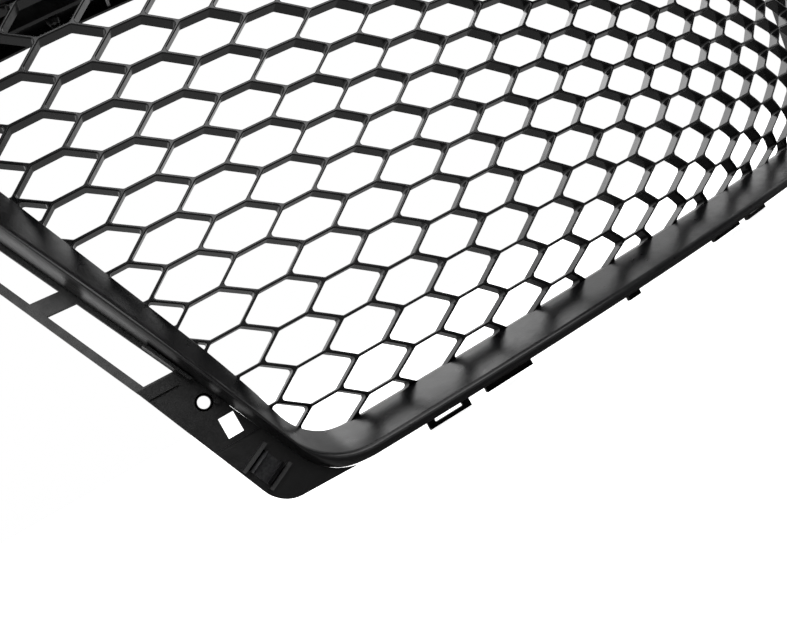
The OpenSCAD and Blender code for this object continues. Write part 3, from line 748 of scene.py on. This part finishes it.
def matte_black(name="matte_black_moulding", base=0.002, lift=0.005, rough=(0.28, 0.40), level=0.4):
    m = Nodes(name)
    tint = m.ramp(m.noise(70, 5), [(0.3, (base, base, base * 1.08)), (0.75, (lift, lift, lift * 1.05))])
    r = m.span(m.noise(180, 5, 0.65), rough[0], rough[1], 0.3, 0.7)
    n = m.bump(m.noise(110, 3), 0.2, 0.0007)
    n = m.bump(m.voronoi(2100), 0.3, 0.00012, n)
    return m.done(tint, r, n, IOR=1.5, Specular_IOR_Level=level)


def zinc():
    m = Nodes("zinc_plated_steel")
    tint = m.ramp(m.noise(600, 5), [(0.3, (0.42, 0.42, 0.41)), (0.7, (0.62, 0.62, 0.60))])
    r = m.span(m.noise(900, 4, 0.7), 0.24, 0.42, 0.3, 0.7)
    n = m.bump(m.noise(2400, 3, stretch=(1, 8, 1)), 0.25, 0.00006)
    return m.done(tint, r, n, Metallic=1.0)


def dark_spring_steel():
    m = Nodes("phosphated_spring_steel")
    tint = m.ramp(m.noise(500, 5), [(0.3, (0.02, 0.02, 0.022)), (0.7, (0.06, 0.06, 0.062))])
    r = m.span(m.noise(1200, 4, 0.7), 0.34, 0.5, 0.3, 0.7)
    n = m.bump(m.noise(2600, 3, stretch=(1, 1, 8)), 0.3, 0.00006)
    return m.done(tint, r, n, Metallic=0.85)


def rubber():
    m = Nodes("extruded_rubber")
    tint = m.ramp(m.noise(120, 5), [(0.3, (0.012, 0.012, 0.012)), (0.75, (0.03, 0.03, 0.029))])
    r = m.span(m.noise(300, 4, 0.7), 0.6, 0.82, 0.3, 0.7)
    n = m.bump(m.noise(1800, 3, stretch=(0.15, 1, 1)), 0.4, 0.00015)
    return m.done(tint, r, n, IOR=1.5)


def felt():
    m = Nodes("needled_felt")
    tint = m.ramp(m.noise(900, 6, 0.7), [(0.3, (0.02, 0.02, 0.021)), (0.75, (0.075, 0.075, 0.078))])
    r = m.span(m.noise(700, 4, 0.7), 0.86, 1.0, 0.3, 0.7)
    n = m.bump(m.noise(1500, 6, 0.8), 0.9, 0.0005)
    n = m.bump(m.noise(4200, 4, 0.8, stretch=(1, 3, 1)), 0.6, 0.0002, n)
    return m.done(tint, r, n, Sheen_Weight=0.3)


# ------------------------------------------------------------------ dressing the nodes
LOOKS = {"honeycomb": gloss_black(), "bezel": satin_charcoal(), "carrier": matte_black(),
         "screw": zinc(), "clip_steel": dark_spring_steel(), "seal": rubber(), "pad": felt(),
         "retainer": matte_black("satin_black_nylon", 0.006, 0.014, (0.3, 0.42), 0.5)}


def dress(obj, look):
    obj.data.materials.clear()
    obj.data.materials.append(LOOKS[look])


slots = {s["node"]: s["material_slot"] for s in frame["record"]["subparts"]}
for name, obj in frame["nodes"].items():
    dress(obj, slots[name])

# each new piece, its look and the node it stands for
PIECES = ((honeycomb(), "honeycomb", "honeycomb_insert"), (bezel(), "bezel", "surround_bezel"),
          (bosses(), "bezel", None), (seal(), "seal", "bonnet_seal_strip"),
          (pads(), "pad", "anti_rattle_pads"), (hole_rings(), "carrier", None))
for piece, look, old in PIECES:
    dress(piece, look)
    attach(piece, "grille")
    if old:
        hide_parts(old)

# Moulded edges are slightly rounded
for name in ("left_side_flange", "right_side_flange", "lower_tab_rail", "upper_mounting_shelf",
             "left_spring_clip", "right_spring_clip"):
    obj = frame["nodes"][name]
    weld = obj.modifiers.new("weld", "WELD")
    weld.merge_threshold = 0.00001
    bevel = obj.modifiers.new("edges", "BEVEL")
    bevel.width = 0.00025 if "clip" not in name else 0.00012
    bevel.segments = 2
    bevel.limit_method = "ANGLE"
    bevel.angle_limit = math.radians(30)
    bevel.use_clamp_overlap = True
    bevel.harden_normals = True
    weighted(obj)

# ------------------------------------------------------------------ floor, light and camera
floor_z = CAD_BOX[0].z - 0.0005
reach = 8
mesh = bpy.data.meshes.new("floor")
mesh.from_pydata([(-reach, -reach, floor_z), (reach, -reach, floor_z), (reach, reach, floor_z),
                  (-reach, reach, floor_z)], [], [(0, 1, 2, 3)])
floor = bpy.data.objects.new("floor", mesh)
scene.collection.objects.link(floor)
# white to the camera, and a dull grey in the part's reflections
pale = Nodes("pale_floor")
tint = pale.ramp(pale.noise(3, 3), [(0.3, (0.84, 0.84, 0.84)), (0.7, (0.88, 0.88, 0.88))])
pale.done(tint, pale.span(pale.noise(8, 3), 0.6, 0.75))
pale.shader.inputs["Emission Color"].default_value = (1, 1, 1, 1)
pale.shader.inputs["Emission Strength"].default_value = 0.95
dim = pale.tree.nodes.new("ShaderNodeBsdfDiffuse")
dim.inputs["Color"].default_value = (0.2, 0.2, 0.2, 1)
lit = pale.tree.nodes.new("ShaderNodeLightPath")
both = pale.tree.nodes.new("ShaderNodeMixShader")
pale.link(lit.outputs["Is Camera Ray"], both.inputs["Fac"])
pale.link(dim.outputs["BSDF"], both.inputs[1])
pale.link(pale.shader.outputs["BSDF"], both.inputs[2])
pale.link(both.outputs["Shader"], pale.tree.nodes["Material Output"].inputs["Surface"])
floor.data.materials.append(pale.mat)

# a soft sky, dark towards -Y and brightest just behind the middle, and white to the camera
world = bpy.data.worlds.new("studio")
scene.world = world
world.use_nodes = True
tree = world.node_tree
sky = tree.nodes["Background"]
coords = tree.nodes.new("ShaderNodeTexCoord")
split = tree.nodes.new("ShaderNodeSeparateXYZ")
tree.links.new(coords.outputs["Generated"], split.inputs[0])
ramp = tree.nodes.new("ShaderNodeValToRGB")
ramp.color_ramp.interpolation = "EASE"
ramp.color_ramp.elements.new(0.5)
for stop, at, grey in zip(ramp.color_ramp.elements, (0.32, 0.56, 0.8), (0.006, 1.0, 0.4)):
    stop.position = at
    stop.color = (grey, grey, grey, 1)
half = tree.nodes.new("ShaderNodeMapRange")
half.inputs["From Min"].default_value = -1
tree.links.new(split.outputs["Y"], half.inputs["Value"])
tree.links.new(half.outputs["Result"], ramp.inputs["Fac"])
tree.links.new(ramp.outputs["Color"], sky.inputs["Color"])
sky.inputs["Strength"].default_value = 1.7
seen = tree.nodes.new("ShaderNodeBackground")
seen.inputs["Color"].default_value = (1, 1, 1, 1)
path = tree.nodes.new("ShaderNodeLightPath")
mix = tree.nodes.new("ShaderNodeMixShader")
tree.links.new(path.outputs["Is Camera Ray"], mix.inputs["Fac"])
tree.links.new(sky.outputs["Background"], mix.inputs[1])
tree.links.new(seen.outputs["Background"], mix.inputs[2])
tree.links.new(mix.outputs["Shader"], tree.nodes["World Output"].inputs["Surface"])


def softbox(name, place, aim, size, power):
    light = bpy.data.lights.new(name, "AREA")
    light.shape = "RECTANGLE"
    light.size, light.size_y = size
    light.energy = power
    obj = bpy.data.objects.new(name, light)
    obj.location = place
    obj.rotation_mode = "QUATERNION"
    obj.rotation_quaternion = (Vector(aim) - Vector(place)).to_track_quat("-Z", "Y")
    scene.collection.objects.link(obj)
    return obj


softbox("key", (-0.5, -0.7, 1.5), (0, 0, -0.2), (2.2, 1.4), 12)
softbox("side", (-1.7, -0.5, 0.5), (-0.2, 0, -0.2), (1.2, 1.2), 4)
softbox("brow", (-0.05, -1.5, 0.5), (-0.1, 0, -0.2), (1.8, 0.85), 16)
softbox("over", (0.0, 1.2, 1.9), (0, 0.4, -0.3), (3.0, 2.0), 34)

scene.view_settings.view_transform = "Standard"

# the camera stands before the lower left corner, low and rolled, looking in along the grille
cam = bpy.data.cameras.new("camera")
cam.sensor_width = 36
cam.lens = 31.1
cam.shift_x, cam.shift_y = 0.0108, 0.0064
cam.clip_start, cam.clip_end = 0.01, 50
eye = bpy.data.objects.new("camera", cam)
place = Vector((-0.34065, -0.36929, -0.25694))
level, roll, yaw = math.radians(89.386), math.radians(29.572), math.radians(-22.790)
eye.matrix_world = Matrix.Translation(place) @ Euler((level, roll, yaw)).to_matrix().to_4x4()
scene.collection.objects.link(eye)
scene.camera = eye
